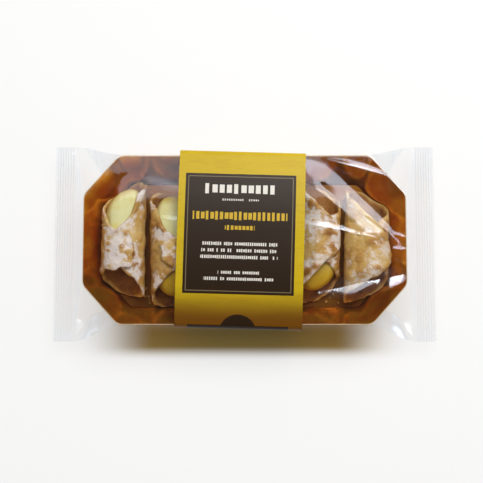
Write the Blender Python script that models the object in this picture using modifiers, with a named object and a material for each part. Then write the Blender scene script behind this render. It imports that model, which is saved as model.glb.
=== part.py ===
"""A pack of six cannoli: a tray sealed in a clear film wrap, with a card band slid round its middle.

The film can't be opened without tearing it, so the wrap is one closed solid out to the film's surface,
with the crimped fin of its seal at each end. The band is a folded ring of thin card that the pack stands on.
The origin is on the ground under the middle of the pack, +X runs along the tray and +Z is up.
"""

import bmesh
import bpy
import numpy as np

# Driving dimensions, in metres.

RIM_LENGTH = 0.220  # the eight-sided tray inside, measured across its rim
RIM_WIDTH = 0.116
CORNER_X = 0.024  # how much each cut corner takes off the rim's length
CORNER_Y = 0.027  # and off its width
WALL_FLARE = 0.0145  # how far the tray's walls lean out from floor to rim

FILM_FLOOR = 0.0008  # underside of the film, just above the card band
FILM_RIM = 0.0325  # top of the film where it bends over the rim
FILM_DOME = 0.0046  # how far the contents lift the film above the rim
DOME_REACH = 0.026  # how far in from the rim the film has risen to its full height
RIPPLE = 0.0004  # the film dips this much between one roll and the next
ROLL_PITCH = 0.0335  # spacing of the six rolls under the film

FIN_START = 0.1185  # where the two sheets of film meet, measured from the middle
FIN_END = 0.132  # cut end of the fin
FIN_HALF_WIDTH = 0.068
FIN_HEIGHT = 0.012
FIN_THICKNESS = 0.0006
CRIMP_PITCH = 0.0018
CRIMP_DEPTH = 0.0003

BAND_WIDTH = 0.086  # along the pack
BAND_SHIFT = -0.0028  # the band was pushed on by hand, a little left of the middle
BAND_TURN = -1.6  # and a little askew: degrees about the vertical
BAND_THICKNESS = 0.00045
BAND_FOOT = 0.0455  # half the width of the band's flat underside
BAND_FOOT_RADIUS = 0.003
BAND_FOLD = (0.0624, 0.0338)  # where the side and the top would meet if the fold were sharp
BAND_FOLD_RADIUS = 0.0035
BAND_CROWN = 0.0398  # top of the band
BAND_ARCH_POWER = 2.4  # how flat the crown is

# Share of the wrap's half width at which its flat underside ends and its side starts to climb.
FLOOR_SHARE = (RIM_WIDTH / 2 - WALL_FLARE) / (RIM_WIDTH / 2 + 0.0006)
# The lengthwise lines of the wrap, as shares of its half width: the film bends most near its edge.
ACROSS = np.array([0.0, 0.17, 0.34, 0.48, 0.58, 0.67, FLOOR_SHARE, 0.81, 0.88, 0.94, 1.0])

CARD_YELLOW = (0.62, 0.44, 0.01, 1.0)
FILM_OVER_GOLD = (0.42, 0.24, 0.07, 1.0)


def clear_scene():
    for thing in list(bpy.data.objects):
        bpy.data.objects.remove(thing, do_unlink=True)


def smooth(share):
    """An S-curve from 0 to 1."""
    share = np.clip(share, 0.0, 1.0)
    return share * share * (3.0 - 2.0 * share)


def material(name, colour, roughness, metallic=0.0):
    made = bpy.data.materials.new(name)
    made.use_nodes = True
    made.diffuse_color = colour
    shader = made.node_tree.nodes["Principled BSDF"]
    shader.inputs["Base Color"].default_value = colour
    shader.inputs["Roughness"].default_value = roughness
    shader.inputs["Metallic"].default_value = metallic
    return made


def add_object(name, mesh, collection, finish):
    made = bpy.data.objects.new(name, mesh)
    collection.objects.link(made)
    mesh.materials.append(finish)
    return made


# ---- the film wrap


def past_corner(x, y):
    """Distance outside the rim's slanting corner edge, negative inside it."""
    reach = RIM_LENGTH / 2 * CORNER_Y + RIM_WIDTH / 2 * CORNER_X - CORNER_X * CORNER_Y
    return (np.abs(x) * CORNER_Y + np.abs(y) * CORNER_X - reach) / np.hypot(CORNER_X, CORNER_Y)


def inside_rim(x, y):
    """Distance in from the nearest edge of the eight-sided rim."""
    past = np.maximum(np.abs(x) - RIM_LENGTH / 2, np.abs(y) - RIM_WIDTH / 2)
    return -np.maximum(past, past_corner(x, y))


def towards_fin(x):
    """0 along the tray's straight sides, rising to 1 at the fin."""
    start = RIM_LENGTH / 2 - CORNER_X - 0.002
    return smooth((np.abs(x) - start) / (FIN_START - start))


def half_width(x):
    """The film hugs the rim, then spreads to the flattened tube's full width at the fin."""
    at_rim = RIM_WIDTH / 2 + 0.0006
    return at_rim + (FIN_HALF_WIDTH - at_rim) * towards_fin(x)


def edge_height(x):
    """Height of the line along each side where the upper and lower sheets meet."""
    at_rim = FILM_RIM - 0.0002
    return at_rim + (FIN_HEIGHT - at_rim) * towards_fin(x)


def crimp(x):
    """Ridges pressed across the fin. They are nothing inboard of it."""
    along = np.abs(x) - FIN_START
    return np.where(along > 0, CRIMP_DEPTH * np.sin(2 * np.pi * along / CRIMP_PITCH), 0.0)


def upper_sheet(x, y):
    """The lowest of three surfaces: the lid over the rolls, and the slopes down past the end and corner rims."""
    rise = FILM_DOME * smooth(inside_rim(x, y) / DOME_REACH)
    lid = FILM_RIM + rise - RIPPLE * np.cos(2 * np.pi * x / ROLL_PITCH) * rise / FILM_DOME
    fin_top = FIN_HEIGHT + FIN_THICKNESS / 2
    fall = (FILM_RIM - fin_top) / (FIN_START - RIM_LENGTH / 2)
    end_slope = FILM_RIM - fall * (np.abs(x) - RIM_LENGTH / 2)
    corner_slope = FILM_RIM - 0.62 * past_corner(x, y)
    sheet = np.minimum(lid, np.minimum(end_slope, corner_slope))
    return np.maximum(sheet, fin_top) + crimp(x)


def lower_sheet(x, y):
    """Flat under the tray, rising to the fin at the ends and up the leaning walls at the sides."""
    fin_bottom = FIN_HEIGHT - FIN_THICKNESS / 2
    floor_end = RIM_LENGTH / 2 - WALL_FLARE
    climb = (fin_bottom - FILM_FLOOR) / (FIN_START - floor_end)
    middle = FILM_FLOOR + climb * np.clip(np.abs(x) - floor_end, 0, FIN_START - floor_end)
    middle = middle + crimp(x)
    share = np.clip((np.abs(y) / half_width(x) - FLOOR_SHARE) / (1 - FLOOR_SHARE), 0, 1)
    return middle + (edge_height(x) + crimp(x) - middle) * share


def meet_at_edge(sheet, x, y):
    """Pulls a sheet's edge to the line that both sheets share, and leaves the rest of it alone."""
    edge = edge_height(x) + crimp(x)
    miss = edge - sheet(x, np.broadcast_to(half_width(x), y.shape))
    return sheet(x, y) + miss * np.abs(y / half_width(x)) ** 8


def wrap_stations():
    """Cross-sections along the pack: even over the rolls, closer over the corners, a few for each crimp."""
    middle = np.linspace(0, RIM_LENGTH / 2 - CORNER_X, 14)
    corner = np.linspace(middle[-1], FIN_START, 9)[1:]
    fin = np.arange(FIN_START, FIN_END + 1e-6, CRIMP_PITCH / 2) + CRIMP_PITCH / 4
    fin = np.append(fin[fin < FIN_END - 1e-4], FIN_END)
    half = np.concatenate([middle, corner, fin])
    return np.concatenate([-half[:0:-1], half])


def build_film_wrap(collection):
    """A loft: each cross-section is an upper and a lower line that share their two end points."""
    x = wrap_stations()[:, None]
    share = np.concatenate([-ACROSS[:0:-1], ACROSS])[None, :]
    y = share * half_width(x)
    top = meet_at_edge(upper_sheet, x, y)
    bottom = meet_at_edge(lower_sheet, x, y)

    rows, columns = y.shape
    wide_x = np.broadcast_to(x, y.shape)
    upper_points = np.stack([wide_x, y, top], axis=-1).reshape(-1, 3)
    lower_points = np.stack([wide_x, y, bottom], axis=-1).reshape(-1, 3)
    upper = np.arange(rows * columns).reshape(rows, columns)
    lower = upper + rows * columns
    lower[:, 0], lower[:, -1] = upper[:, 0], upper[:, -1]

    def strips(grid):
        corners = (grid[:-1, :-1], grid[1:, :-1], grid[1:, 1:], grid[:-1, 1:])
        return np.stack(corners, axis=-1).reshape(-1, 4)

    def end_wall(row):
        wall = strips(np.stack([upper[row], lower[row]]))
        return [list(dict.fromkeys(face)) for face in wall.tolist()]

    faces = strips(upper).tolist() + strips(lower)[:, ::-1].tolist() + end_wall(0) + end_wall(-1)
    mesh = bpy.data.meshes.new("film_wrap")
    mesh.from_pydata(np.concatenate([upper_points, lower_points]).tolist(), [], faces)

    shape = bmesh.new()
    shape.from_mesh(mesh)
    loose = [point for point in shape.verts if not point.link_faces]
    bmesh.ops.delete(shape, geom=loose, context="VERTS")
    bmesh.ops.recalc_face_normals(shape, faces=shape.faces)
    shape.to_mesh(mesh)
    shape.free()
    mesh.shade_smooth()
    mesh.set_sharp_from_angle(angle=np.radians(35))
    return add_object("film_wrap", mesh, collection, material("clear_film", FILM_OVER_GOLD, 0.25))


# ---- the card band


def rounded(before, corner, after, radius, steps=6):
    """The arc that rounds a corner of an outline, from the first side to the next."""
    before, corner, after = (np.array(point) for point in (before, corner, after))
    back = (before - corner) / np.linalg.norm(before - corner)
    ahead = (after - corner) / np.linalg.norm(after - corner)
    half_angle = np.arccos(np.clip(back @ ahead, -1, 1)) / 2
    middle = (back + ahead) / np.linalg.norm(back + ahead)
    centre = corner + middle * radius / np.sin(half_angle)
    first = corner + back * radius / np.tan(half_angle) - centre
    last = corner + ahead * radius / np.tan(half_angle) - centre
    share = np.linspace(0, 1, steps + 1)[:, None]
    swing = np.pi - 2 * half_angle
    return centre + (np.sin((1 - share) * swing) * first + np.sin(share * swing) * last) / np.sin(swing)


def band_outline():
    """Half of the band's outer outline in Y and Z, from under the middle round to the crown."""
    fold_y, fold_z = BAND_FOLD
    arch_y = np.linspace(0.92 * fold_y, 0, 15)
    arch_z = BAND_CROWN - (BAND_CROWN - fold_z) * (arch_y / fold_y) ** BAND_ARCH_POWER
    arch = np.stack([arch_y, arch_z], axis=-1)
    under, foot = (0.0, 0.0), (BAND_FOOT, 0.0)
    foot_arc = rounded(under, foot, BAND_FOLD, BAND_FOOT_RADIUS)
    fold_arc = rounded(foot, BAND_FOLD, arch[0], BAND_FOLD_RADIUS, steps=10)
    return np.concatenate([foot_arc, fold_arc, arch])


def build_card_band(collection):
    """A closed strip of card: the outline swept along X, then given its thickness inwards."""
    half = band_outline()
    mirrored = half[-2::-1] * (-1, 1)
    outline = np.concatenate([half, mirrored])
    mesh = bpy.data.meshes.new("card_band")
    shape = bmesh.new()
    sides = [[shape.verts.new((x, y, z)) for y, z in outline] for x in (-BAND_WIDTH / 2, BAND_WIDTH / 2)]
    near, far = sides
    for i in range(len(outline)):
        shape.faces.new((near[i - 1], near[i], far[i], far[i - 1]))
    bmesh.ops.recalc_face_normals(shape, faces=shape.faces)
    shape.to_mesh(mesh)
    shape.free()
    mesh.shade_smooth()

    band = add_object("card_band", mesh, collection, material("yellow_card", CARD_YELLOW, 0.5))
    band.location.x = BAND_SHIFT
    band.rotation_euler.z = np.radians(BAND_TURN)
    card = band.modifiers.new("card", "SOLIDIFY")
    card.thickness = BAND_THICKNESS
    card.offset = -1
    card.use_even_offset = True
    return band


def main():
    clear_scene()
    collection = bpy.data.collections.new("cannoli_pack")
    bpy.context.scene.collection.children.link(collection)
    build_film_wrap(collection)
    build_card_band(collection)


main()
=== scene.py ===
# A sealed pack of six filled pastry rolls: gold card tray, rolls and cream, clear film, printed card band.
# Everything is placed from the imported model's two solids, film wrap and card band. Units are metres.

import bmesh
import bpy
import numpy as np
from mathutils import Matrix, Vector


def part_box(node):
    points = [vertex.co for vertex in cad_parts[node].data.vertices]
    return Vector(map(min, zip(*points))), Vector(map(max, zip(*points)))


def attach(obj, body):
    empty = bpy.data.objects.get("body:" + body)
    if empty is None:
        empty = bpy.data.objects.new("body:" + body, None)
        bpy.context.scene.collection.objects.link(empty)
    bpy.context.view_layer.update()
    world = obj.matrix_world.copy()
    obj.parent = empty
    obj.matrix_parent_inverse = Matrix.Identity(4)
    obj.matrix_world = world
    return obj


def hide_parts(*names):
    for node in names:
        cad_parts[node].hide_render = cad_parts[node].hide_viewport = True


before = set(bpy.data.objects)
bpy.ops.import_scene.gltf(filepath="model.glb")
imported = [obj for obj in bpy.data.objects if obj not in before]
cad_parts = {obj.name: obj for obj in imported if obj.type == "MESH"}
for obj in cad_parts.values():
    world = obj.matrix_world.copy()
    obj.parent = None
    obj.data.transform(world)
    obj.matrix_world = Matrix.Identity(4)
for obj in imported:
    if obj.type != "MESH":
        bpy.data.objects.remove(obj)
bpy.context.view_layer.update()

mm = 0.001
filmLow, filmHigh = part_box("film_wrap")
bandLow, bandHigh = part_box("card_band")

# The tray's eight-sided rim, which the tray, the rolls and the film all share.
rim = {
    "halfLength": filmHigh.x - 22 * mm,
    "halfWidth": filmHigh.y - 10 * mm,
    "cutX": 24 * mm,  # what each slanting corner takes off the length
    "cutY": 27 * mm,  # and off the width
    "flare": 14.5 * mm,  # how far the walls lean out
    "cornerRadius": 9 * mm,  # where two sides meet
    "height": 32.5 * mm,  # where the film bends over the rim
}


def smooth(share):
    # S-curve from 0 to 1: 3 t squared minus 2 t cubed
    share = np.clip(share, 0.0, 1.0)
    return share * share * (3.0 - 2.0 * share)


def hills(x, y, z, seed):
    # Smooth random hills one unit apart, from -1 to 1: the eight nearest values of a random lattice,
    # blended by S-curves of the distance to each
    table = np.random.default_rng(seed).uniform(-1.0, 1.0, (32, 32, 32))
    point = np.stack(np.broadcast_arrays(x, y, z), axis=-1).astype(float)
    cell = np.floor(point).astype(int)
    part = smooth(point - cell)
    total = np.zeros(point.shape[:-1])
    for corner in np.ndindex(2, 2, 2):
        weight = np.prod(np.where(np.array(corner) == 1, part, 1.0 - part), axis=-1)
        spot = (cell + corner) % 32
        total += weight * table[spot[..., 0], spot[..., 1], spot[..., 2]]
    return total


def pastCorner(x, y):
    # Distance outside the rim's slanting corner side
    cutX, cutY = rim["cutX"], rim["cutY"]
    reach = rim["halfLength"] * cutY + rim["halfWidth"] * cutX - cutX * cutY
    return (np.abs(x) * cutY + np.abs(y) * cutX - reach) / np.hypot(cutX, cutY)


def roundedCorner(before, corner, after, radius, count):
    # The circle arc that joins two straight sides, swept evenly by angle
    before, corner, after = (np.array(point) for point in (before, corner, after))
    back = (before - corner) / np.linalg.norm(before - corner)
    ahead = (after - corner) / np.linalg.norm(after - corner)
    halfAngle = np.arccos(np.clip(back @ ahead, -1, 1)) / 2
    middle = (back + ahead) / np.linalg.norm(back + ahead)
    centre = corner + middle * radius / np.sin(halfAngle)
    first = corner + back * radius / np.tan(halfAngle) - centre
    last = corner + ahead * radius / np.tan(halfAngle) - centre
    share = np.linspace(0, 1, count)[:, None]
    swing = np.pi - 2 * halfAngle
    return centre + (np.sin((1 - share) * swing) * first + np.sin(share * swing) * last) / np.sin(swing)


def gridFaces(rows, columns, start, flip):
    # The four corners of every cell of a grid of points
    index = np.arange(start, start + rows * columns).reshape(rows, columns)
    faces = np.stack([index[:-1, :-1], index[1:, :-1], index[1:, 1:], index[:-1, 1:]], axis=-1)
    faces = faces.reshape(-1, 4)
    return faces[:, ::-1] if flip else faces


def addPiece(name, sheets, finish, weld=1e-6, sharp=None, values=None):
    # A sheet is a grid of points, whether its faces are flipped, and a grid of UVs or None. Sheets are
    # welded where they meet.
    starts = np.cumsum([0] + [grid[..., 0].size for grid, flip, uv in sheets])
    points = np.concatenate([grid.reshape(-1, 3) for grid, flip, uv in sheets])
    faces = np.concatenate([gridFaces(*grid.shape[:2], start, flip)
                            for (grid, flip, uv), start in zip(sheets, starts)])
    flat = None
    if sheets[0][2] is not None:
        flat = np.concatenate([uv.reshape(-1, 2) for grid, flip, uv in sheets])
    return addMesh(name, points, faces, finish, weld, sharp, values, flat)


def addMesh(name, points, faces, finish, weld=1e-6, sharp=None, values=None, uv=None):
    mesh = bpy.data.meshes.new(name)
    mesh.from_pydata(points.tolist(), [], faces.tolist())
    for label, amounts in (values or {}).items():
        layer = mesh.attributes.new(label, "FLOAT", "POINT")
        layer.data.foreach_set("value", np.ravel(amounts).astype(np.float32))
    if uv is not None:
        layer = mesh.uv_layers.new(name="UVMap")
        corner = np.empty(len(mesh.loops), dtype=np.int32)
        mesh.loops.foreach_get("vertex_index", corner)
        layer.data.foreach_set("uv", uv[corner].astype(np.float32).ravel())
    if weld:
        shape = bmesh.new()
        shape.from_mesh(mesh)
        bmesh.ops.remove_doubles(shape, verts=shape.verts, dist=weld)
        bmesh.ops.dissolve_degenerate(shape, edges=shape.edges, dist=weld / 10)
        shape.to_mesh(mesh)
        shape.free()
    mesh.shade_smooth()
    if sharp is not None:
        mesh.set_sharp_from_angle(angle=np.radians(sharp))
    mesh.materials.append(finish)
    made = bpy.data.objects.new(name, mesh)
    bpy.context.scene.collection.objects.link(made)
    return made


class Wire:
    # One output of a shader tree. Arithmetic on it adds Math nodes.
    def __init__(self, tree, socket):
        self.tree = tree
        self.socket = socket

    def math(self, operation, first, second=None):
        inputs = {0: first} if second is None else {0: first, 1: second}
        return addNode(self.tree, "ShaderNodeMath", {"operation": operation}, inputs)

    def __add__(self, other):
        return self.math("ADD", self, other)

    def __sub__(self, other):
        return self.math("SUBTRACT", self, other)

    def __rsub__(self, other):
        return self.math("SUBTRACT", other, self)

    def __mul__(self, other):
        return self.math("MULTIPLY", self, other)

    def __truediv__(self, other):
        return self.math("DIVIDE", self, other)

    def __lt__(self, other):
        return self.math("LESS_THAN", self, other)

    def __gt__(self, other):
        return self.math("GREATER_THAN", self, other)

    def __abs__(self):
        return self.math("ABSOLUTE", self)

    __radd__ = __add__
    __rmul__ = __mul__


def addNode(tree, kind, settings=None, inputs=None, out=0):
    # The one way a node is made: its type, its settings, then the values or links of its sockets
    node = tree.nodes.new(kind)
    for name, value in (settings or {}).items():
        if name == "stops":
            ramp = node.color_ramp
            while len(ramp.elements) < len(value):
                ramp.elements.new(0.5)
            for element, (place, colour) in zip(ramp.elements, value):
                element.position = place
                element.color = colour
        else:
            setattr(node, name, value)
    for name, value in (inputs or {}).items():
        if isinstance(value, Wire):
            tree.links.new(value.socket, node.inputs[name])
        else:
            node.inputs[name].default_value = value
    return Wire(tree, node.outputs[out])


def paint(red, green, blue):
    # A colour as a paint chart writes it, 0 to 255, made linear
    levels = np.array([red, green, blue]) / 255
    linear = np.where(levels <= 0.04045, levels / 12.92, ((levels + 0.055) / 1.055) ** 2.4)
    return (*linear.tolist(), 1.0)


def newFinish(name):
    finish = bpy.data.materials.new(name)
    finish.use_nodes = True
    return finish, finish.node_tree, finish.node_tree.nodes["Principled BSDF"]


def setShader(shader, **sockets):
    # Joined words stand for a socket's name: BaseColor is Base Color
    tree = shader.id_data
    for name, value in sockets.items():
        label = "".join(" " + letter if letter.isupper() else letter for letter in name).strip()
        if isinstance(value, Wire):
            tree.links.new(value.socket, shader.inputs[label])
        else:
            shader.inputs[label].default_value = value


def blend(tree, factor, first, second):
    settings = {"data_type": "RGBA", "clamp_factor": True}
    return addNode(tree, "ShaderNodeMix", settings, {0: factor, 6: first, 7: second}, out=2)


def objectPoint(tree):
    return addNode(tree, "ShaderNodeTexCoord", out="Object")


def stretched(tree, point, scale):
    return addNode(tree, "ShaderNodeVectorMath", {"operation": "MULTIPLY"}, {0: point, 1: scale})


def grain(tree, point, size, detail=2.0, rough=0.5):
    # Noise whose blotches are about this many metres across, from 0 to 1
    inputs = {"Vector": point, "Scale": 1 / size, "Detail": detail, "Roughness": rough}
    return addNode(tree, "ShaderNodeTexNoise", None, inputs)


def steps(tree, value, low, high):
    # 0 below low, 1 above high, an S-curve between
    settings = {"interpolation_type": "SMOOTHSTEP"}
    return addNode(tree, "ShaderNodeMapRange", settings, {0: value, 1: low, 2: high})


def axisOf(tree, point, axis):
    # One of a point's three numbers: X, Y or Z
    return addNode(tree, "ShaderNodeSeparateXYZ", None, {0: point}, axis)


def readValue(tree, label):
    return addNode(tree, "ShaderNodeAttribute", {"attribute_name": label}, out="Fac")


def bump(tree, height, distance):
    return addNode(tree, "ShaderNodeBump", None, {"Height": height, "Distance": distance, "Strength": 1.0})


def mixShaders(tree, factor, first, second):
    mixed = addNode(tree, "ShaderNodeMixShader", None, {0: factor, 1: first, 2: second})
    tree.links.new(mixed.socket, tree.nodes["Material Output"].inputs["Surface"])


studio = {
    "lookAt": Vector((-2.2 * mm, -1.4 * mm, 32 * mm)),
    "elevation": 82,  # degrees above the table, from the front
    "distance": 0.95,
    "fieldWidth": 328 * mm,  # how much of the pack's length the picture spans
    "floor": paint(246, 246, 243),
    "keySize": (0.50, 0.46),
    "keyPlace": (36, 52, 1.05),  # degrees to the right of straight behind, degrees up, metres away
    "keyRadiance": 8.0,
    "backSize": (0.66, 0.58),
    "backPlace": (-8, 60, 1.10),
    "backRadiance": 2.5,
    "topSize": (1.2, 1.2),
    "topPlace": (0, 86, 1.5),
    "topRadiance": 1.1,
    "glow": 0.66,  # share of the floor that is plain white to the eye, except right in front of the pack
    "paintedShadowGold": paint(178, 146, 44),  # painted shadow and painted gold reflected light, laid on the floor right in front of the pack
    "skyLow": (0.72, 0.72, 0.72, 1.0),
    "skyHigh": (0.09, 0.09, 0.09, 1.0),
}


def awayTo(azimuth, elevation, distance):
    # Azimuth 0 is straight behind the pack, and it grows to the right
    turn, rise = np.radians(azimuth), np.radians(elevation)
    return Vector((np.sin(turn) * np.cos(rise), np.cos(turn) * np.cos(rise), np.sin(rise))) * distance


def addLight(name, place, size, radiance, mirrored=True):
    lamp = bpy.data.lights.new(name, "AREA")
    lamp.shape = "RECTANGLE"
    lamp.size, lamp.size_y = size
    lamp.energy = radiance * np.pi * size[0] * size[1]  # a one-sided panel's watts for its radiance
    made = bpy.data.objects.new(name, lamp)
    made.location = awayTo(*place)
    made.rotation_euler = (-made.location).to_track_quat("-Z", "Y").to_euler()
    made.visible_glossy = mirrored
    bpy.context.scene.collection.objects.link(made)


def addStudio():
    scene = bpy.context.scene
    scene.view_settings.view_transform = "Standard"
    lens = bpy.data.cameras.new("camera")
    lens.sensor_width = 36
    lens.lens = 36 * studio["distance"] / studio["fieldWidth"]
    camera = bpy.data.objects.new("camera", lens)
    camera.location = studio["lookAt"] + awayTo(180, studio["elevation"], studio["distance"])
    camera.rotation_euler = (studio["lookAt"] - camera.location).to_track_quat("-Z", "Y").to_euler()
    scene.collection.objects.link(camera)
    scene.camera = camera

    addLight("key_panel", studio["keyPlace"], studio["keySize"], studio["keyRadiance"])
    addLight("back_panel", studio["backPlace"], studio["backSize"], studio["backRadiance"])
    addLight("top_panel", studio["topPlace"], studio["topSize"], studio["topRadiance"], mirrored=False)

    # The room is pale at the horizon and dim overhead, so that the film stays clear from above
    world = bpy.data.worlds.new("studio")
    scene.world = world
    world.use_nodes = True
    tree = world.node_tree
    height = axisOf(tree, addNode(tree, "ShaderNodeTexCoord", out="Generated"), "Z")
    sky = blend(tree, steps(tree, height, 0.05, 0.8), studio["skyLow"], studio["skyHigh"])
    tree.links.new(sky.socket, tree.nodes["Background"].inputs["Color"])

    finish, tree, shader = newFinish("pale_floor")
    speck = grain(tree, objectPoint(tree), 90 * mm)
    # Painted shadow: 1 right in front of the pack, fading out to both sides, under it and away from it.
    # There the floor's colour is painted dark gold, for shadow and reflected gold light, and its white glow
    # is taken away.
    alongX, alongY = axisOf(tree, objectPoint(tree), "X"), axisOf(tree, objectPoint(tree), "Y")
    ahead = 1 - steps(tree, abs(alongX), 62 * mm, 118 * mm)
    ahead = ahead * (1 - steps(tree, alongY, -62 * mm, -20 * mm))
    ahead = ahead * steps(tree, alongY, -filmHigh.y - 13 * mm, -filmHigh.y - 2 * mm)
    colour = blend(tree, speck * 0.06, studio["floor"], paint(225, 225, 222))
    setShader(shader, BaseColor=blend(tree, ahead * 0.9, colour, studio["paintedShadowGold"]), Roughness=0.85)
    shader.inputs["Specular IOR Level"].default_value = 0.1
    seen = sum(addNode(tree, "ShaderNodeLightPath", out=kind)
               for kind in ("Is Camera Ray", "Is Glossy Ray", "Is Transmission Ray"))
    seen = seen * studio["glow"] * (1 - ahead)
    white = addNode(tree, "ShaderNodeEmission", None, {"Color": (1, 1, 1, 1), "Strength": 1.0})
    mixShaders(tree, seen, Wire(tree, shader.outputs[0]), white)
    points = np.array([[[-4, -4, 0], [-4, 4, 0]], [[4, -4, 0], [4, 4, 0]]], dtype=float)
    floor = addPiece("floor", [(points, False, None)], finish)
    print("studio ready")


tray = {
    "bottom": 1.15 * mm,  # clear of the film under it
    "top": 32.1 * mm,
    "card": 0.5 * mm,
    "sideSteps": 22,  # points along each of the eight sides
    "arcSteps": 8,  # and round each corner
    "wallSteps": 22,
    "floorSteps": 16,
    "buckle": 0.45 * mm,  # how far the foil-faced card waves
    "wave": (17 * mm, 15 * mm),  # from hill to hill, level and upwards
    "foil": paint(246, 184, 48),
    "foilDeep": paint(232, 142, 22),
    "foilPaintedShade": paint(112, 56, 16),  # the floor and the foot of the walls, painted dark brown as shade under and between the rolls
    "cutEdge": paint(214, 190, 150),
}


def rimRing(inset):
    # The eight-sided rim moved in by inset on every side: each corner is where two moved sides cross,
    # rounded by an arc, and the points go evenly along each side and round each arc
    length, width = rim["halfLength"] - inset, rim["halfWidth"] - inset
    cutX, cutY = rim["cutX"], rim["cutY"]
    reach = rim["halfLength"] * cutY + rim["halfWidth"] * cutX - cutX * cutY - inset * np.hypot(cutX, cutY)
    alongX = (reach - cutX * width) / cutY
    alongY = (reach - cutY * length) / cutX
    quarter = [(length, alongY), (alongX, width)]
    corners = quarter + [(-x, y) for x, y in quarter[::-1]]
    corners = np.array(corners + [(-x, -y) for x, y in corners])
    share = np.linspace(0, 1, tray["sideSteps"], endpoint=False)[:, None]
    before, after = np.roll(corners, 1, axis=0), np.roll(corners, -1, axis=0)
    radius = rim["cornerRadius"] - 0.3 * inset
    arcs = [roundedCorner(*three, radius, tray["arcSteps"]) for three in zip(before, corners, after)]
    ring = [np.concatenate([arc[:-1], arc[-1] + (following[0] - arc[-1]) * share])
            for arc, following in zip(arcs, arcs[1:] + arcs[:1])]
    ring = np.concatenate(ring)
    return np.concatenate([ring, ring[:1]])


def buildTray():
    # A profile of (inset, height) carried round the rim: floor, wall, cut edge, outside wall, underside.
    # The floor's rings shrink onto a line down the middle. The walls buckle by gentle random hills.
    card, flare = tray["card"], rim["flare"]
    wave = tray["wave"]
    rows = []

    def addRing(inset, height, shrink=0.0, buckle=1.0):
        ring = rimRing(inset)
        middle = np.stack([ring[:, 0] * 0.62, np.zeros(len(ring))], axis=-1)
        ring = ring + (middle - ring) * shrink
        ripple = hills(ring[:, 0] / wave[0], ring[:, 1] / wave[0], height / wave[1], 5)
        ripple = np.abs(ripple * tray["buckle"] * buckle)[:, None]
        outward = ring / np.maximum(np.linalg.norm(ring, axis=1, keepdims=True), 1e-9)
        ring = ring - outward * (1 - shrink) * ripple
        rows.append(np.column_stack([ring, np.full(len(ring), height)]))

    def addWall(shares, inset, floor):
        for share in shares:
            addRing(inset + flare - flare * share, floor + (tray["top"] - floor) * share,
                    buckle=4 * share * (1 - share))

    for share in np.linspace(1, 0, tray["floorSteps"]):
        addRing(flare + card, tray["bottom"] + card, shrink=share, buckle=0.3)
    addWall(np.linspace(0, 1, tray["wallSteps"])[1:], card, tray["bottom"] + card)
    addRing(card * 0.5, tray["top"] + 0.1 * mm, buckle=0)
    addWall(np.linspace(1, 0, tray["wallSteps"]), 0, tray["bottom"])
    for share in np.linspace(0, 1, tray["floorSteps"])[1:]:
        addRing(flare, tray["bottom"], shrink=share)
    points = np.stack(rows)
    piece = addPiece("tray", [(points, False, None)], foilFinish(), weld=2e-6, sharp=24)
    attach(piece, "root")
    print("tray ready")


def foilFinish():
    finish, tree, shader = newFinish("gold_foil_card")
    point = objectPoint(tree)
    height = axisOf(tree, point, "Z")
    cut = steps(tree, height, tray["top"] - 0.15 * mm, tray["top"] - 0.05 * mm)
    # Painted shade: low in the tray the foil is painted dark brown, standing in for the shade under and
    # between the rolls
    low = 1 - steps(tree, height, 1.8 * mm, 5 * mm)
    patch = grain(tree, point, 14 * mm, 3.0)
    colour = blend(tree, steps(tree, patch, 0.35, 0.7), tray["foil"], tray["foilDeep"])
    fibre = grain(tree, stretched(tree, point, (1.0, 1.0, 3.0)), 0.7 * mm, 2.0)
    dimple = grain(tree, point, 5 * mm, 1.0)
    colour = blend(tree, low * 0.85, colour, tray["foilPaintedShade"])
    setShader(shader, BaseColor=blend(tree, cut, colour, tray["cutEdge"]), Metallic=0.86 * (1 - cut),
              Roughness=0.15 + 0.15 * patch + 0.5 * cut + 0.1 * low,
              Normal=bump(tree, fibre * 0.05 + dimple, 0.12 * mm))
    return finish


dough = {
    "radius": 14.4 * mm,  # to the middle of the pastry
    "thick": 2.6 * mm,
    "halfAround": 64 * mm,  # corner to corner of the square sheet, half of it, round the tube
    "halfAlong": 47 * mm,  # and along it
    "bulge": 0.07,  # how far the sheet's edges bow out
    "cornerRound": 0.20,
    "steps": 140,  # grid lines each way
    "blisters": 420,
    "seat": 1.75 * mm,  # top of the tray's floor
    "beyond": 119.4,  # where a seventh roll's middle would lie past either end, in millimetres
}

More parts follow.
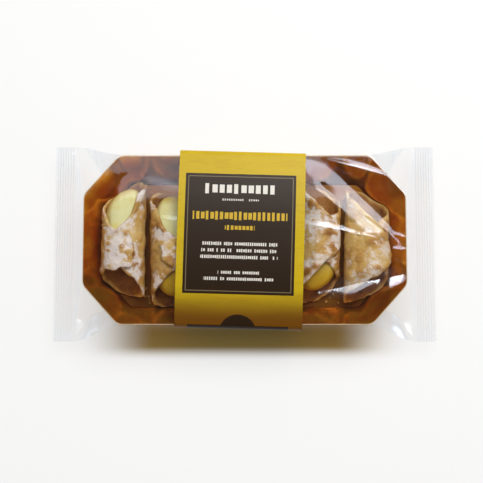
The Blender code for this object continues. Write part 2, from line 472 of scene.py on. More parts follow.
# Each roll, from the left: where its middle lies, how it is turned in the tray (degrees), how far round its
# tube the seam sits (degrees), which side's corner is folded on top, how far back the folded corners sit,
# the slant of the sheet on its tube (degrees), how much further out each end reaches on the right for every
# millimetre across, how deep each opening is scooped, its size, the shares of its length and height, its
# sugar and its toast, and how far the cream reaches to the back and to the front.
rolls = [
    {"x": -83.4, "y": 3.0, "turn": 1, "seam": 12, "over": -1, "tip": -8, "slant": 5, "ends": (0.40, 0.36),
     "scoop": (8, -3), "size": 1.0, "long": 0.92, "tall": 1.0, "sugar": 1.0, "toast": 0.32, "back": 33,
     "front": -16, "seed": 21},
    {"x": -49.8, "y": -3.6, "turn": -2, "seam": -10, "over": 1, "tip": -5, "slant": 0, "ends": (0.0, 0.0),
     "scoop": (9, 2), "size": 0.99, "long": 1.0, "tall": 1.0, "sugar": 0.95, "toast": 0.40, "back": 36,
     "front": -34, "seed": 22},
    {"x": -16.2, "y": -1.0, "turn": 2, "seam": 6, "over": -1, "tip": 2, "slant": 6, "ends": (0.1, 0.0),
     "scoop": (5, 2), "size": 0.99, "long": 1.0, "tall": 1.0, "sugar": 0.85, "toast": 0.4, "back": 33,
     "front": -33, "seed": 23},
    {"x": 17.3, "y": -3.0, "turn": -3, "seam": -3, "over": 1, "tip": -3, "slant": -9, "ends": (0.0, 0.1),
     "scoop": (5, 2), "size": 0.98, "long": 1.0, "tall": 1.0, "sugar": 0.9, "toast": 0.3, "back": 33,
     "front": -34, "seed": 24},
    {"x": 50.6, "y": 0.5, "turn": 2, "seam": -24, "over": -1, "tip": 2, "slant": -2, "ends": (-0.3, -0.3),
     "scoop": (0, 0), "size": 1.01, "long": 0.98, "tall": 0.99, "sugar": 1.0, "toast": 0.38, "back": 20,
     "front": -33, "seed": 25},
    {"x": 84.0, "y": -1.5, "turn": 3, "seam": -34, "over": -1, "tip": -7, "slant": 6, "ends": (-0.1, -0.2),
     "scoop": (0, 0), "size": 1.03, "long": 0.90, "tall": 0.92, "sugar": 0.55, "toast": 0.28, "back": 8,
     "front": -22, "seed": 26},
]


def laidInTray(roll, around, along, radius):
    # Round the tube by an angle from its underside, and along its axis, then turned and moved to its place.
    # Sideways the roll is pressed against its neighbours, which meet it halfway on a line that waves by
    # gentle hills: past a start s the offset grows only as s + w (1 - e to the power -(offset - s) / w).
    angle = around + np.radians(roll["seam"])
    x = radius * np.sin(angle)
    z = -radius * np.cos(angle) * roll["tall"]
    askew = np.where(along > 0, roll["ends"][0], -roll["ends"][1]) * x
    along = along + askew * smooth(np.abs(along) / (30 * mm))
    turn = np.radians(roll["turn"])
    sideways = x * np.cos(turn) + along * np.sin(turn)
    y = roll["y"] * mm - x * np.sin(turn) + along * np.cos(turn)
    places = [-dough["beyond"]] + [other["x"] for other in rolls] + [dough["beyond"]]
    number = places.index(roll["x"])
    right = sideways > 0
    toLeft, toRight = np.diff(places)[number - 1:number + 1]
    room = np.where(right, toRight, toLeft) / 2 * mm
    wave = 1.3 * mm * hills(y / (9 * mm), np.where(right, number + 1, number) * 3.7, 0.5, 77)
    pressing = 2.6 * mm
    start = room + np.where(right, wave, -wave) - 0.1 * mm - pressing
    over = np.maximum(np.abs(sideways) - start, 0)
    pressed = np.abs(sideways) - over + pressing * (1 - np.exp(-over / pressing))
    high = (dough["radius"] * roll["size"] + dough["thick"] / 2) * roll["tall"]
    z = z + dough["seat"] + high + 0.5 * mm
    return keptInTray(roll["x"] * mm + np.sign(sideways) * pressed, y, z)


def keptInTray(x, y, z):
    # What would stick out through the leaning walls or the floor is moved straight back to them
    floor = tray["bottom"] + tray["card"]
    z = np.maximum(z, floor + 0.08 * mm)
    share = np.clip((z - floor) / (tray["top"] - floor), 0, 1)
    inset = tray["card"] + rim["flare"] * (1 - share) + 0.7 * mm
    x = np.clip(x, inset - rim["halfLength"], rim["halfLength"] - inset)
    y = np.clip(y, inset - rim["halfWidth"], rim["halfWidth"] - inset)
    over = np.maximum(pastCorner(x, y) + inset, 0) / np.hypot(rim["cutX"], rim["cutY"])
    return np.stack([x - np.sign(x) * over * rim["cutY"], y - np.sign(y) * over * rim["cutX"], z], axis=-1)


def blisterField(around, along, roll):
    # Fried bubbles: each is a round cap, its height falling to nothing at its radius, and the tallest wins.
    # The places are first pushed about by gentle hills, which makes the caps uneven.
    random = np.random.default_rng(roll["seed"])
    pushedAround = around + 0.8 * mm * hills(around / (3 * mm), along / (3 * mm), 0.2, roll["seed"] + 1)
    pushedAlong = along + 0.8 * mm * hills(around / (3 * mm), along / (3 * mm), 0.8, roll["seed"] + 2)
    height = np.zeros(around.shape)
    count = dough["blisters"]
    spots = random.uniform(-1, 1, (count, 2)) * (dough["halfAround"], dough["halfAlong"])
    sizes = (0.9 + 3.0 * random.uniform(0, 1, count) ** 2.5) * mm
    steep = random.uniform(0.18, 0.34, count)
    for (spotAround, spotAlong), size, share in zip(spots, sizes, steep):
        away = ((pushedAround - spotAround) ** 2 + (pushedAlong - spotAlong) ** 2) / size ** 2
        height = np.maximum(height, share * size * np.sqrt(np.clip(1 - away, 0, 1)))
    return height


def gridNormals(points):
    # Cross product of the two ways along the grid, its length made one
    normal = np.cross(np.gradient(points, axis=0), np.gradient(points, axis=1))
    return normal / np.maximum(np.linalg.norm(normal, axis=-1, keepdims=True), 1e-12)


def buildShell(number, roll, finish):
    # A square sheet of dough, corners round the tube and along it. With p and q from -1 to 1 along its
    # edges, around = half size times (p + q) / 2 and along = half size times (p - q) / 2, both times
    # 1 + bulge (p2 + q2 - 2 p2 q2) - round p4 q4. It is wound on a tube, one corner lifted over the
    # other, and its thickness falls to nothing at the edge in a round lip.
    size, seed = roll["size"], roll["seed"]
    even = np.linspace(-1, 1, dough["steps"])
    p = (0.6 * even + 0.4 * np.sin(np.pi / 2 * even))[:, None]
    q = p.reshape(1, -1)
    square = p ** 2 * q ** 2
    swell = 1 + dough["bulge"] * (p ** 2 + q ** 2 - 2 * square) - dough["cornerRound"] * square ** 2
    around = dough["halfAround"] * size * swell * (p + q) / 2
    along = dough["halfAlong"] * size * roll["long"] * swell * (p - q) / 2
    ragged = hills(around / (8 * mm), along / (8 * mm), 0.5, seed + 40)
    ragged = ragged + 0.4 * hills(around / (3 * mm), along / (3 * mm), 0.5, seed + 41)
    edge = np.maximum(np.abs(p), np.abs(q))
    grow = 1 + 0.045 * ragged * edge ** 2
    slant = np.radians(roll["slant"])
    bent = (around * np.cos(slant) - along * np.sin(slant)) * grow
    run = (around * np.sin(slant) + along * np.cos(slant)) * grow
    run = run + roll["tip"] * mm * (bent / (dough["halfAround"] * size)) ** 2

    radius, thick = dough["radius"] * size, dough["thick"]
    onTop = smooth((-np.cos(bent / radius + np.radians(roll["seam"])) - 0.70) / 0.28)
    scoop = np.where(run > 0, roll["scoop"][0], -roll["scoop"][1]) * mm
    run = run - scoop * onTop * smooth(np.abs(run) / (14 * mm))
    side = bent * roll["over"]
    lap = 2 * np.pi * radius - dough["halfAround"] * size * (1 - dough["cornerRound"])
    lift = smooth((side - lap + 9 * mm) / (10 * mm)) * (thick + 0.3 * mm)
    tuck = smooth((-side - lap + 9 * mm) / (10 * mm)) * 0.6 * mm
    sway = hills(bent / (19 * mm), run / (23 * mm), 0.2, seed + 10) * 0.6 * mm
    lumps = hills(bent / (6 * mm), run / (9 * mm), 0.7, seed + 20) * 0.36 * mm
    folds = (1 - np.abs(hills(bent / (5 * mm), run / (7 * mm), 0.4, seed + 21))) ** 5 * 0.42 * mm
    flare = 0.8 * mm * (np.abs(run) / (38 * mm)) ** 4
    bubbles = blisterField(bent, run, roll)
    pits = hills(bent / (1.5 * mm), run / (1.5 * mm), 0.1, seed + 30) * 0.10 * mm
    beading = smooth((edge - 0.89) / 0.07) * 0.45 * mm
    lip = np.sqrt(np.clip(1 - edge ** 22, 0, 1))
    base = radius - 0.9 * mm + lift - tuck + sway + flare
    outer = base + (thick / 2 + lumps + folds + bubbles + pits + beading) * lip
    inner = base - (thick / 2 - 0.5 * lumps - 0.35 * bubbles) * lip
    outside = laidInTray(roll, bent / radius, run, outer)
    inside = laidInTray(roll, bent / radius, run, inner)

    # Toast follows the bubbles' tops, the lip and broad patches. Sugar falls from above into low places.
    patch = hills(bent / (11 * mm), run / (11 * mm), 0.9, seed + 50)
    mottle = hills(bent / (3.2 * mm), run / (3.2 * mm), 0.6, seed + 51)
    rimmed = smooth((edge - 0.90) / 0.08)
    toast = roll["toast"] + 0.22 * patch + 0.16 * mottle + 0.22 * bubbles / mm - 0.10 * rimmed
    upward = gridNormals(outside)[..., 2]
    upward = upward * np.sign(np.sum(upward * (outside[..., 2] - inside[..., 2])))
    drift = hills(bent / (8 * mm), run / (8 * mm), 0.3, seed + 60)
    clump = hills(bent / (2.4 * mm), run / (2.4 * mm), 0.3, seed + 61)
    raised = (lumps + folds + bubbles) / (0.9 * mm)
    sugar = 0.48 + 0.42 * drift + 0.44 * clump + 0.20 * smooth(lift / thick) * (1 - rimmed) - 0.55 * raised
    sugar = sugar + 0.15 * smooth((edge - 0.7) / 0.1) + 0.05 * rimmed
    sugar = sugar * smooth((upward - 0.05) / 0.6) * roll["sugar"]
    # Painted shade: the inside face of the shell is painted browner than the outside, standing in for the
    # shade in the tube's hollow
    paintedInsideShade = toast + (0.55 - 0.5 * toast) * (1 - rimmed)
    values = {
        "toast": np.concatenate([np.clip(toast, 0, 1).ravel(), np.clip(paintedInsideShade, 0, 1).ravel()]),
        "sugar": np.concatenate([np.clip(sugar, 0, 1).ravel(), np.zeros(sugar.size)]),
    }
    uv = np.stack([bent, run], axis=-1)
    piece = addPiece(f"shell_{number}", [(outside, False, uv), (inside, True, uv)], finish, values=values)
    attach(piece, "root")
    return outside, sugar


def pastryFinish():
    finish, tree, shader = newFinish("fried_pastry")
    point = objectPoint(tree)
    toast = readValue(tree, "toast") + 0.40 * (grain(tree, point, 1.8 * mm, 4.0, 0.6) - 0.5)
    browned = addNode(tree, "ShaderNodeValToRGB", {"stops": [
        (0.0, paint(228, 198, 130)), (0.35, paint(208, 164, 84)),
        (0.65, paint(170, 112, 42)), (1.0, paint(98, 52, 16))]}, {"Fac": toast})
    dust = grain(tree, point, 1.0 * mm, 4.0, 0.7)
    sugar = steps(tree, readValue(tree, "sugar") + 1.3 * (dust - 0.5), 0.22, 0.74)
    fleck = grain(tree, point, 0.5 * mm, 3.0)
    setShader(shader, BaseColor=blend(tree, sugar * 0.9, browned, paint(240, 230, 224)),
              Roughness=0.5 + 0.35 * sugar, Normal=bump(tree, fleck + dust * 0.8, 0.30 * mm),
              SubsurfaceWeight=0.08, SubsurfaceRadius=(3.5 * mm, 2 * mm, 1 * mm), SubsurfaceScale=0.4)
    return finish


cream = {
    "radius": 12.9 * mm,
    "level": 10.2 * mm,  # height of its flat top above the roll's axis
    "stepsAround": 96,
    "stepsAlong": 90,
    "colour": paint(230, 228, 172),
    "deep": paint(222, 214, 128),
    "paintedShade": paint(208, 168, 30),  # painted shade, low in the roll and towards the front, where the cream lies in shadow
}


def buildCream(number, roll, finish):
    # A round plug along the roll with its top levelled. Round the axis the radius is a soft minimum of
    # the plug's and of level / cosine from the top, with a swirl, sin(along / 3.6 mm + 2 turns), near the
    # ends, where it closes like a superellipse of power four.
    size = roll["size"]
    turn = np.linspace(0, 2 * np.pi, cream["stepsAround"] + 1)[None, :]
    run = np.sin(np.linspace(-np.pi / 2, np.pi / 2, cream["stepsAlong"]))[:, None]
    half = (roll["back"] - roll["front"]) / 2 * mm * size
    middle = (roll["back"] + roll["front"]) / 2 * mm * size
    along = middle + half * run
    top = np.cos(turn - np.pi)  # 1 at the top
    swirl = 0.5 * mm * np.sin(along / (3.6 * mm) + 2 * turn) * smooth((np.abs(run) - 0.35) / 0.5)
    level = cream["level"] * size + 0.9 * mm * hills(along / (13 * mm), 0.3, 0.5, roll["seed"] + 70)
    flat = np.where(top > 0.2, level / np.maximum(top, 0.2), 1.0)
    full = cream["radius"] * size
    ease = 0.7 * mm
    soft = -ease * np.log(np.exp(-full / ease) + np.exp(-np.minimum(flat, 30 * mm) / ease))
    close = (1 - np.abs(run) ** 4) ** 0.5
    lump = 0.25 * mm * hills(along / (6 * mm), 2 * np.cos(turn), 2 * np.sin(turn), roll["seed"] + 80)
    radius = (soft + (swirl + lump) * close) * np.maximum(close, 0)
    points = laidInTray({**roll, "seam": 0}, *np.broadcast_arrays(turn, along, radius))
    piece = addPiece(f"cream_{number}", [(points, False, None)], finish, weld=1e-5)
    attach(piece, "root")


def creamFinish():
    finish, tree, shader = newFinish("lemon_cream")
    point = objectPoint(tree)
    patch = grain(tree, point, 8 * mm, 3.0)
    fine = grain(tree, point, 0.9 * mm, 3.0)
    # Painted shade: the cream turns a deep gold low in the roll and towards the front
    low = steps(tree, axisOf(tree, point, "Z"), 18 * mm, 29 * mm)
    low = 1 - low * steps(tree, axisOf(tree, point, "Y"), -26 * mm, 2 * mm)
    colour = blend(tree, steps(tree, patch, 0.4, 0.8), cream["colour"], cream["deep"])
    setShader(shader, BaseColor=blend(tree, low, colour, cream["paintedShade"]),
              Roughness=0.38 + 0.15 * fine, Normal=bump(tree, fine + patch, 0.15 * mm),
              SubsurfaceWeight=0.25, SubsurfaceRadius=(4 * mm, 3 * mm, 1.5 * mm), SubsurfaceScale=0.6)
    return finish


loose = {"sugarLumps": 620, "crumbs": 150, "sugarSize": (0.22, 0.62), "crumbSize": (0.35, 1.1)}


def pebbles(places, sizes, seed):
    # One twenty-faced ball at each place, squashed and knobbled at random
    random = np.random.default_rng(seed)
    golden = (1 + 5 ** 0.5) / 2
    ball = np.array([(-1, golden, 0), (1, golden, 0), (-1, -golden, 0), (1, -golden, 0),
                     (0, -1, golden), (0, 1, golden), (0, -1, -golden), (0, 1, -golden),
                     (golden, 0, -1), (golden, 0, 1), (-golden, 0, -1), (-golden, 0, 1)])
    ball = ball / np.hypot(1, golden)
    faces = np.array([(0, 11, 5), (0, 5, 1), (0, 1, 7), (0, 7, 10), (0, 10, 11), (1, 5, 9), (5, 11, 4),
                      (11, 10, 2), (10, 7, 6), (7, 1, 8), (3, 9, 4), (3, 4, 2), (3, 2, 6), (3, 6, 8),
                      (3, 8, 9), (4, 9, 5), (2, 4, 11), (6, 2, 10), (8, 6, 7), (9, 8, 1)])
    knobs = random.uniform(0.7, 1.25, (len(places), 12, 1))
    shape = ball * knobs * random.uniform(0.7, 1.3, (len(places), 1, 3))
    points = places[:, None, :] + shape * sizes[:, None, None]
    index = faces[None] + 12 * np.arange(len(places))[:, None, None]
    return points.reshape(-1, 3), index.reshape(-1, 3)


def grainyFinish(name, size, first, second, rough):
    finish, tree, shader = newFinish(name)
    colour = blend(tree, grain(tree, objectPoint(tree), size), first, second)
    setShader(shader, BaseColor=colour, Roughness=rough)
    return finish


def buildLoose(tops):
    random = np.random.default_rng(8)
    spots = np.concatenate([top.reshape(-1, 3) for top, sugar in tops])
    weight = np.concatenate([np.clip(sugar, 0, 1).ravel() ** 2 for top, sugar in tops])
    chosen = random.choice(len(spots), loose["sugarLumps"], replace=False, p=weight / weight.sum())
    sizes = random.uniform(*loose["sugarSize"], len(chosen)) * mm
    points, faces = pebbles(spots[chosen], sizes, 9)
    finish = grainyFinish("sugar_lump", 0.6 * mm, paint(246, 240, 236), paint(226, 212, 204), 0.8)
    piece = addMesh("sugar_lumps", points, faces, finish, weld=None)
    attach(piece, "root")

    count = loose["crumbs"]
    x = random.uniform(-72, 72, count) * mm
    y = random.choice([-1, 1], count) * random.uniform(28, 41, count) * mm
    sizes = random.uniform(*loose["crumbSize"], count) * mm
    places = np.stack([x, y, tray["bottom"] + tray["card"] + sizes * 0.7], axis=-1)
    points, faces = pebbles(places, sizes, 10)
    finish = grainyFinish("pastry_crumb", 1.5 * mm, paint(222, 180, 112), paint(140, 84, 38), 0.7)
    piece = addMesh("crumbs", points, faces, finish, weld=None)
    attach(piece, "root")
    print("sugar and crumbs ready")


film = {
    "floor": filmLow.z,
    "dome": 4.6 * mm,  # how far the rolls lift the film above the rim
    "ripple": 0.4 * mm,
    "rollPitch": 33.6 * mm,
    "finStart": filmHigh.x - 13.5 * mm,
    "finEnd": filmHigh.x,
    "finHalfWidth": filmHigh.y,
    "finHeight": 12 * mm,
    "finThick": 0.5 * mm,
    "crimpPitch": 1.8 * mm,
    "crimpDepth": 0.3 * mm,
    "toothDepth": 0.9 * mm,
    "columns": 168,
    "leastGlint": 0.017,  # what the film mirrors besides its own gloss
    "mostGlint": 0.30,  # the most that it mirrors, seen along its surface
    # Where the film starts to rise over the rolls: a point on each line, the way in (degrees from +X), and
    # the reach
    "shoulders": [
        ((0, 58), -90, 27), ((0, -58), 90, 24), ((-110, 0), 0, 24), ((110, 0), 180, 18),
        ((-98, 44.5), -48, 13), ((-98, -44.5), 48, 20), ((98, -44.5), 132, 18), ((73, 35), -135, 15),
    ],
    # Creases: start, end, height (a valley is negative), width of the back flank, width of the front one
    "creases": [
        ((34, 11), (78, 3), 0.9, 4.0, 3.0),
        ((66, 3.6), (96, 0.5), 0.6, 2.0, 3.0),
        ((48, -36), (113, -22), -2.6, 9.0, 10.5),
        ((57, 55), (98, 43.5), 1.2, 4.0, 3.5),
        ((80, 16), (104, -3), 0.5, 1.8, 2.6),
        ((-57, 14), (-40, 11), 0.6, 2.2, 3.0),
        ((101, 4), (112, 0), 0.5, 1.6, 1.6),
        ((100, -6), (112, -8), 0.5, 1.6, 1.6),
        ((100, -14), (112, -18), 0.5, 1.6, 1.6),
        ((-112, -55), (-92, -57), 0.7, 2.5, 2.0),
        ((-70, 43), (-40, 33), -0.6, 5.0, 5.0),
    ],
}


def towardsFin(x):
    # 0 along the straight sides, an S-curve up to 1 at the fin
    start = rim["halfLength"] - rim["cutX"] - 2 * mm
    return smooth((np.abs(x) - start) / (film["finStart"] - start))


def halfWidth(x):
    atRim = rim["halfWidth"] + 0.6 * mm
    return atRim + (film["finHalfWidth"] - atRim) * towardsFin(x)


def edgeHeight(x):
    atRim = rim["height"] - 0.2 * mm
    return atRim + (film["finHeight"] - atRim) * towardsFin(x)


def crimp(x):
    along = np.abs(x) - film["finStart"]
    return np.where(along > 0, film["crimpDepth"] * np.sin(2 * np.pi * along / film["crimpPitch"]), 0.0)


def plane(share):
    # Rises evenly from 0, and eases over to 1 by a parabola from 0.8 to 1.2
    share = np.clip(share, 0, 1.2)
    return np.where(share < 0.8, share, 1 - (1.2 - share) ** 2 / 0.8)


def creaseHeights(x, y):
    # Each crease is a straight crest. Across it the height falls evenly to nothing over each flank's width,
    # and along it both height and widths swell from nothing to full and back as the root of a sine.
    total = np.zeros(np.broadcast(x, y).shape)
    for start, end, height, back, front in film["creases"]:
        start, end = np.array(start) * mm, np.array(end) * mm
        way = (end - start) / np.linalg.norm(end - start)
        share = ((x - start[0]) * way[0] + (y - start[1]) * way[1]) / np.linalg.norm(end - start)
        across = (y - start[1]) * way[0] - (x - start[0]) * way[1]
        swell = np.sqrt(np.sin(np.pi * np.clip(share, 0, 1)))
        width = np.where(across > 0, back, front) * mm * np.maximum(swell, 1e-6)
        total += height * mm * swell * np.clip(1 - np.abs(across) / width, 0, 1)
    return total


def upperSheet(x, y):
    # The lid, lifted by the product of even slopes in from each shoulder line, plus creases and fine
    # wrinkles. Past the rim it follows whichever is lowest of the lid and the slopes down to the fin.
    rise = np.ones(np.broadcast(x, y).shape)
    for (pointX, pointY), way, reach in film["shoulders"]:
        inwards = (x - pointX * mm) * np.cos(np.radians(way)) + (y - pointY * mm) * np.sin(np.radians(way))
        rise = rise * plane(inwards / (reach * mm))
    ripple = film["ripple"] * np.cos(2 * np.pi * x / film["rollPitch"]) * rise
    past, corner = np.abs(x) - rim["halfLength"], pastCorner(x, y)
    inside = -np.maximum(np.maximum(past, np.abs(y) - rim["halfWidth"]), corner)
    free = smooth(inside / (6 * mm)) * smooth((np.abs(x) - bandHigh.x) / (5 * mm))
    wrinkle = 0.04 * mm * hills(x / (9 * mm), y / (3.6 * mm), 0.5, 90)
    wrinkle = wrinkle + 0.05 * mm * hills((x + y) / (16 * mm), (x - y) / (6 * mm), 0.2, 91)
    creased = creaseHeights(x, y) * smooth(inside / (2 * mm))
    lid = rim["height"] + film["dome"] * rise - ripple + wrinkle * free + creased
    finTop = film["finHeight"] + film["finThick"] / 2
    fall = (rim["height"] - finTop) / (film["finStart"] - rim["halfLength"])
    gather = 0.2 * mm * hills(x / (30 * mm), y / (4.5 * mm), 0.4, 92)
    window = smooth(past / (5 * mm)) * smooth((film["finStart"] - np.abs(x)) / (3 * mm))
    endSlope = rim["height"] - fall * past + gather * window
    cornerSlope = rim["height"] - 0.62 * corner + 0.5 * gather * smooth(corner / (6 * mm))
    sheet = np.minimum(lid, np.minimum(endSlope, cornerSlope))
    return np.maximum(sheet, finTop) + crimp(x)


def lowerSheet(x, y):
    # Flat under the tray, rising to the fin at the ends and up the leaning walls at the sides
    finBottom = film["finHeight"] - film["finThick"] / 2
    floorEnd = rim["halfLength"] - rim["flare"]
    share = np.clip((np.abs(x) - floorEnd) / (film["finStart"] - floorEnd), 0, 1)
    middle = film["floor"] + (finBottom - film["floor"]) * share + crimp(x)
    floorShare = (rim["halfWidth"] - rim["flare"]) / (rim["halfWidth"] + 0.6 * mm)
    share = np.clip((np.abs(y) / halfWidth(x) - floorShare) / (1 - floorShare), 0, 1)
    return middle + (edgeHeight(x) + crimp(x) - middle) * share


def meetAtEdge(sheet, x, y):
    # Adds the miss at the nearer edge times (share of the half width) to the power of eight
    miss = edgeHeight(x) + crimp(x) - sheet(x, np.sign(y) * halfWidth(x))
    return sheet(x, y) + miss * np.abs(y / halfWidth(x)) ** 8


def filmStations():
    # Along the pack: coarse under the band, fine over the rolls, four to a crimp in the fins
    under = np.linspace(0, bandHigh.x, 15)
    over = np.arange(bandHigh.x, film["finStart"], 0.82 * mm)[1:]
    fin = np.arange(film["finStart"], film["finEnd"] + 1e-6, film["crimpPitch"] / 4)
    half = np.concatenate([under, over, fin])
    return np.concatenate([-half[:0:-1], half])


def buildFilm():
    x = filmStations()[:, None]
    share = np.linspace(-1, 1, film["columns"] + 1)[None, :]
    y = share * halfWidth(x)
    top = meetAtEdge(upperSheet, x, y)
    bottom = meetAtEdge(lowerSheet, x, y)
    tooth = np.abs(np.arange(film["columns"] + 1) % 4 - 2) / 2 * film["toothDepth"]
    reach = np.clip((np.abs(x) - film["finEnd"] + 3 * mm) / (3 * mm), 0, 1)
    flatX = np.broadcast_to(x, y.shape) - np.sign(x) * reach * tooth[None, :]
    above = np.stack([flatX, y, top], axis=-1)
    below = np.stack([flatX, y, bottom], axis=-1)
    ends = [np.stack([above[row], below[row]]) for row in (0, -1)]
    sheets = [(above, False, None), (below, True, None), (ends[0], False, None), (ends[1], True, None)]
    fold = np.clip(np.abs(creaseHeights(x, y)) / (1.2 * mm), 0, 1)
    others = sum(grid[..., 0].size for grid, flip, uv in sheets[1:])
    values = {"fold": np.concatenate([fold.ravel(), np.zeros(others)])}
    piece = addPiece("film", sheets, filmFinish(), sharp=40, values=values)
    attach(piece, "root")
    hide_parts("film_wrap")
    print("film ready")


def filmFinish():
    # Clear film: see-through, and mirror-like by a share that grows at grazing angles
    finish, tree, shader = newFinish("clear_film")
    point = objectPoint(tree)
    fine = grain(tree, stretched(tree, point, (1.0, 1.8, 1.0)), 2.4 * mm, 3.0)
    haze = steps(tree, grain(tree, point, 18 * mm, 3.0), 0.45, 0.75)
    setShader(shader, BaseColor=blend(tree, haze, paint(236, 244, 255), paint(226, 236, 250)), Metallic=1.0,
              Roughness=0.10 + 0.05 * haze, Normal=bump(tree, fine, 0.02 * mm))
    glint = addNode(tree, "ShaderNodeFresnel", None, {"IOR": 1.45})
    glint = film["leastGlint"] + glint + 0.11 * readValue(tree, "fold")
    share = glint.math("MINIMUM", glint, film["mostGlint"])
    clear = addNode(tree, "ShaderNodeBsdfTransparent", None, {"Color": (1, 1, 1, 1)})
    mixShaders(tree, share, clear, Wire(tree, shader.outputs[0]))
    return finish


band = {
    "card": 0.45 * mm,
    "foot": 45.5 * mm,  # half the width of the flat underside
    "footRadius": 3 * mm,
    "fold": (62.4 * mm, 33.8 * mm),  # where side and top would meet if the fold were sharp
    "foldRadius": 3.5 * mm,
    "archPower": 2.4,
    "turn": -1.6,  # askew on the pack, degrees about the vertical
    "width": 86 * mm,
    "yellow": paint(202, 171, 0),
    "yellowDeep": paint(184, 148, 0),
    "paintedShadeAmber": paint(112, 68, 0),  # painted shade: the yellow goes brown towards the front fold, where the card turns away from the light behind
    "cardBack": paint(214, 206, 190),
    "panel": paint(42, 27, 11),
    "line": paint(120, 104, 74),
    "white": paint(226, 220, 210),
    "gold": paint(206, 168, 40),
    "panelX": -0.8 * mm,  # middle of the dark panel, across the band
    "panelWidth": 75 * mm,
    "panelBack": -44.2 * mm,  # its two ends along the card, measured from the crown towards the front
    "panelFront": 38.2 * mm,
    # Rows of plain marks, in millimetres: middle along the card, height, length, width of a mark with its
    # gap, share filled, ink
    "rows": [
        (-33.6, 7.2, 49, 4.9, 0.62, "white"), (-26.0, 1.6, 25, 1.5, 0.5, "white"),
        (-14.9, 6.0, 64, 3.2, 0.66, "gold"), (-6.8, 3.6, 20, 2.6, 0.62, "gold"),
        (4.2, 2.6, 52, 1.45, 0.66, "white"), (8.7, 2.6, 51, 1.5, 0.64, "white"),
        (13.2, 2.6, 52, 1.4, 0.66, "white"), (23.6, 2.4, 28, 1.45, 0.64, "white"),
        (27.9, 2.4, 47, 1.5, 0.66, "white"),
    ],
    "tabRadius": 12.7 * mm,
    "tabX": -0.4 * mm,
    "tabCentre": 64.4 * mm,
    "sideStart": 59.2 * mm,
    "sideWidth": 68 * mm,
    "sideEnd": 92 * mm,
}


def bandOutline():
    # In Y and Z: flat foot, leaning side, fold, and an arch whose drop grows as a power of Y, both halves
    foldY, foldZ = band["fold"]
    crown = bandHigh.z
    archY = np.linspace(0.92 * foldY, 0, 60)
    archZ = crown - (crown - foldZ) * (archY / foldY) ** band["archPower"]
    arch = np.stack([archY, archZ], axis=-1)
    foot = np.stack([np.linspace(0, 0.9, 12) * band["foot"], np.zeros(12)], axis=-1)
    footArc = roundedCorner((0, 0), (band["foot"], 0), band["fold"], band["footRadius"], 12)
    foldArc = roundedCorner((band["foot"], 0), band["fold"], arch[0], band["foldRadius"], 18)
    side = footArc[-1] + (foldArc[0] - footArc[-1]) * np.linspace(0, 1, 20)[1:-1, None]
    half = np.concatenate([foot, footArc, side, foldArc, arch])
    keep = np.append(True, np.linalg.norm(np.diff(half, axis=0), axis=1) > 1e-6)
    half = half[keep]
    return np.concatenate([half, half[-2::-1] * (-1, 1)])


def buildBand():
    # The outline carried along X, with an inner copy a card's thickness inside, closed over both cut edges,
    # and all turned a little about the vertical
    outline = bandOutline()
    run = np.append(0, np.cumsum(np.linalg.norm(np.diff(outline, axis=0), axis=1)))
    crownRun = run[-1] / 2
    lengthwise = run - crownRun
    way = np.gradient(outline, axis=0)
    way[0] = way[-1] = (1, 0)
    inwards = np.stack([-way[:, 1], way[:, 0]], axis=-1) / np.linalg.norm(way, axis=1, keepdims=True)
    inner = outline + inwards * band["card"]
    x = np.linspace(-0.5, 0.5, 44) * band["width"]
    rows, printed, flat = [], [], []
    for places, line, ink in ((x, outline, 1.0), (x[::-1], inner, 0.0), (x[:1], outline, 1.0)):
        for place in places:
            rows.append(np.column_stack([np.full(len(line), place), line]))
            printed.append(np.full(len(line), ink))
            flat.append(np.column_stack([np.full(len(line), place), lengthwise]))
    points = np.stack(rows)
    turn = np.radians(band["turn"])
    spin = np.array([[np.cos(turn), -np.sin(turn), 0], [np.sin(turn), np.cos(turn), 0], [0, 0, 1]])
    points = points @ spin.T + ((bandLow.x + bandHigh.x) / 2, 0, 0)
    values = {"printed": np.stack(printed)}
    piece = addPiece("band", [(points, True, np.stack(flat))], bandFinish(), values=values, sharp=30)
    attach(piece, "root")
    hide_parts("card_band")
    print("band ready")


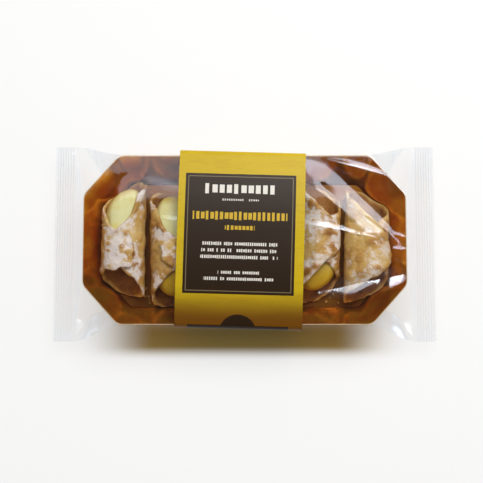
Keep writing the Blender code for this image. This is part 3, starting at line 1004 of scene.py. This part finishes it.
def bandFinish():
    finish, tree, shader = newFinish("printed_card")
    place = addNode(tree, "ShaderNodeUVMap", {"uv_map": "UVMap"})
    alongPack, overCard = axisOf(tree, place, "X"), axisOf(tree, place, "Y")

    def box(middleX, middleY, width, height):
        return (abs(alongPack - middleX) < width / 2) * (abs(overCard - middleY) < height / 2)

    streak = grain(tree, stretched(tree, place, (0.12, 1.0, 1.0)), 1.1 * mm, 4.0, 0.6)
    broad = grain(tree, stretched(tree, place, (0.2, 1.0, 1.0)), 9 * mm, 2.0)
    grown = steps(tree, 0.6 * streak + 0.4 * broad, 0.42, 0.68)
    colour = blend(tree, grown * 0.55, band["yellow"], band["yellowDeep"])
    # Painted shade: the yellow turns brown towards the front fold
    paintedFrontShade = steps(tree, overCard + 3 * mm * (broad - 0.5), 30 * mm, 56 * mm)
    colour = blend(tree, paintedFrontShade, colour, band["paintedShadeAmber"])

    middle = (band["panelBack"] + band["panelFront"]) / 2
    height = band["panelFront"] - band["panelBack"]
    panel = box(band["panelX"], middle, band["panelWidth"], height)
    frameOut = box(band["panelX"], middle, band["panelWidth"] - 3.4 * mm, height - 3.4 * mm)
    frameIn = box(band["panelX"], middle, band["panelWidth"] - 4.6 * mm, height - 4.6 * mm)
    colour = blend(tree, panel, colour, band["panel"])
    colour = blend(tree, frameOut - frameIn, colour, band["line"])
    for centre, tall, wide, pitch, filled, ink in band["rows"]:
        count = (alongPack + 1.0) / (pitch * mm)
        mark = count.math("FLOOR", count)
        part = count.math("FRACT", count)
        chance = addNode(tree, "ShaderNodeTexWhiteNoise", {"noise_dimensions": "1D"}, {"W": mark + centre})
        short = abs(overCard - centre * mm) < (0.5 - 0.16 * chance) * (tall * mm)
        marks = box(band["panelX"], centre * mm, wide * mm, tall * mm) * short
        marks = marks * (part < filled - 0.12 + 0.3 * chance) * (chance > (0.0 if tall > 5 else 0.12))
        colour = blend(tree, marks, colour, band[ink])

    side = box(band["tabX"], (band["sideStart"] + band["sideEnd"]) / 2, band["sideWidth"],
               band["sideEnd"] - band["sideStart"])
    awayX, awayY = alongPack - band["tabX"], overCard - band["tabCentre"]
    tab = (awayX * awayX + awayY * awayY) < band["tabRadius"] ** 2
    dark = side.math("MAXIMUM", side, tab)
    colour = blend(tree, dark, colour, band["panel"])

    printed = readValue(tree, "printed") > 0.5
    fibre = grain(tree, place, 0.6 * mm, 3.0)
    plain = blend(tree, fibre, band["cardBack"], paint(190, 180, 160))
    setShader(shader, BaseColor=blend(tree, printed, plain, colour),
              Roughness=0.62 - 0.28 * printed + 0.05 * streak,
              Normal=bump(tree, fibre * 0.5 + streak, 0.05 * mm))
    shader.inputs["Specular IOR Level"].default_value = 0.25
    return finish


addStudio()
buildTray()
pastry, lemon = pastryFinish(), creamFinish()
tops = []
for number, roll in enumerate(rolls, 1):
    tops.append(buildShell(number, roll, pastry))
    buildCream(number, roll, lemon)
print("six rolls ready")
buildLoose(tops)
buildFilm()
buildBand()
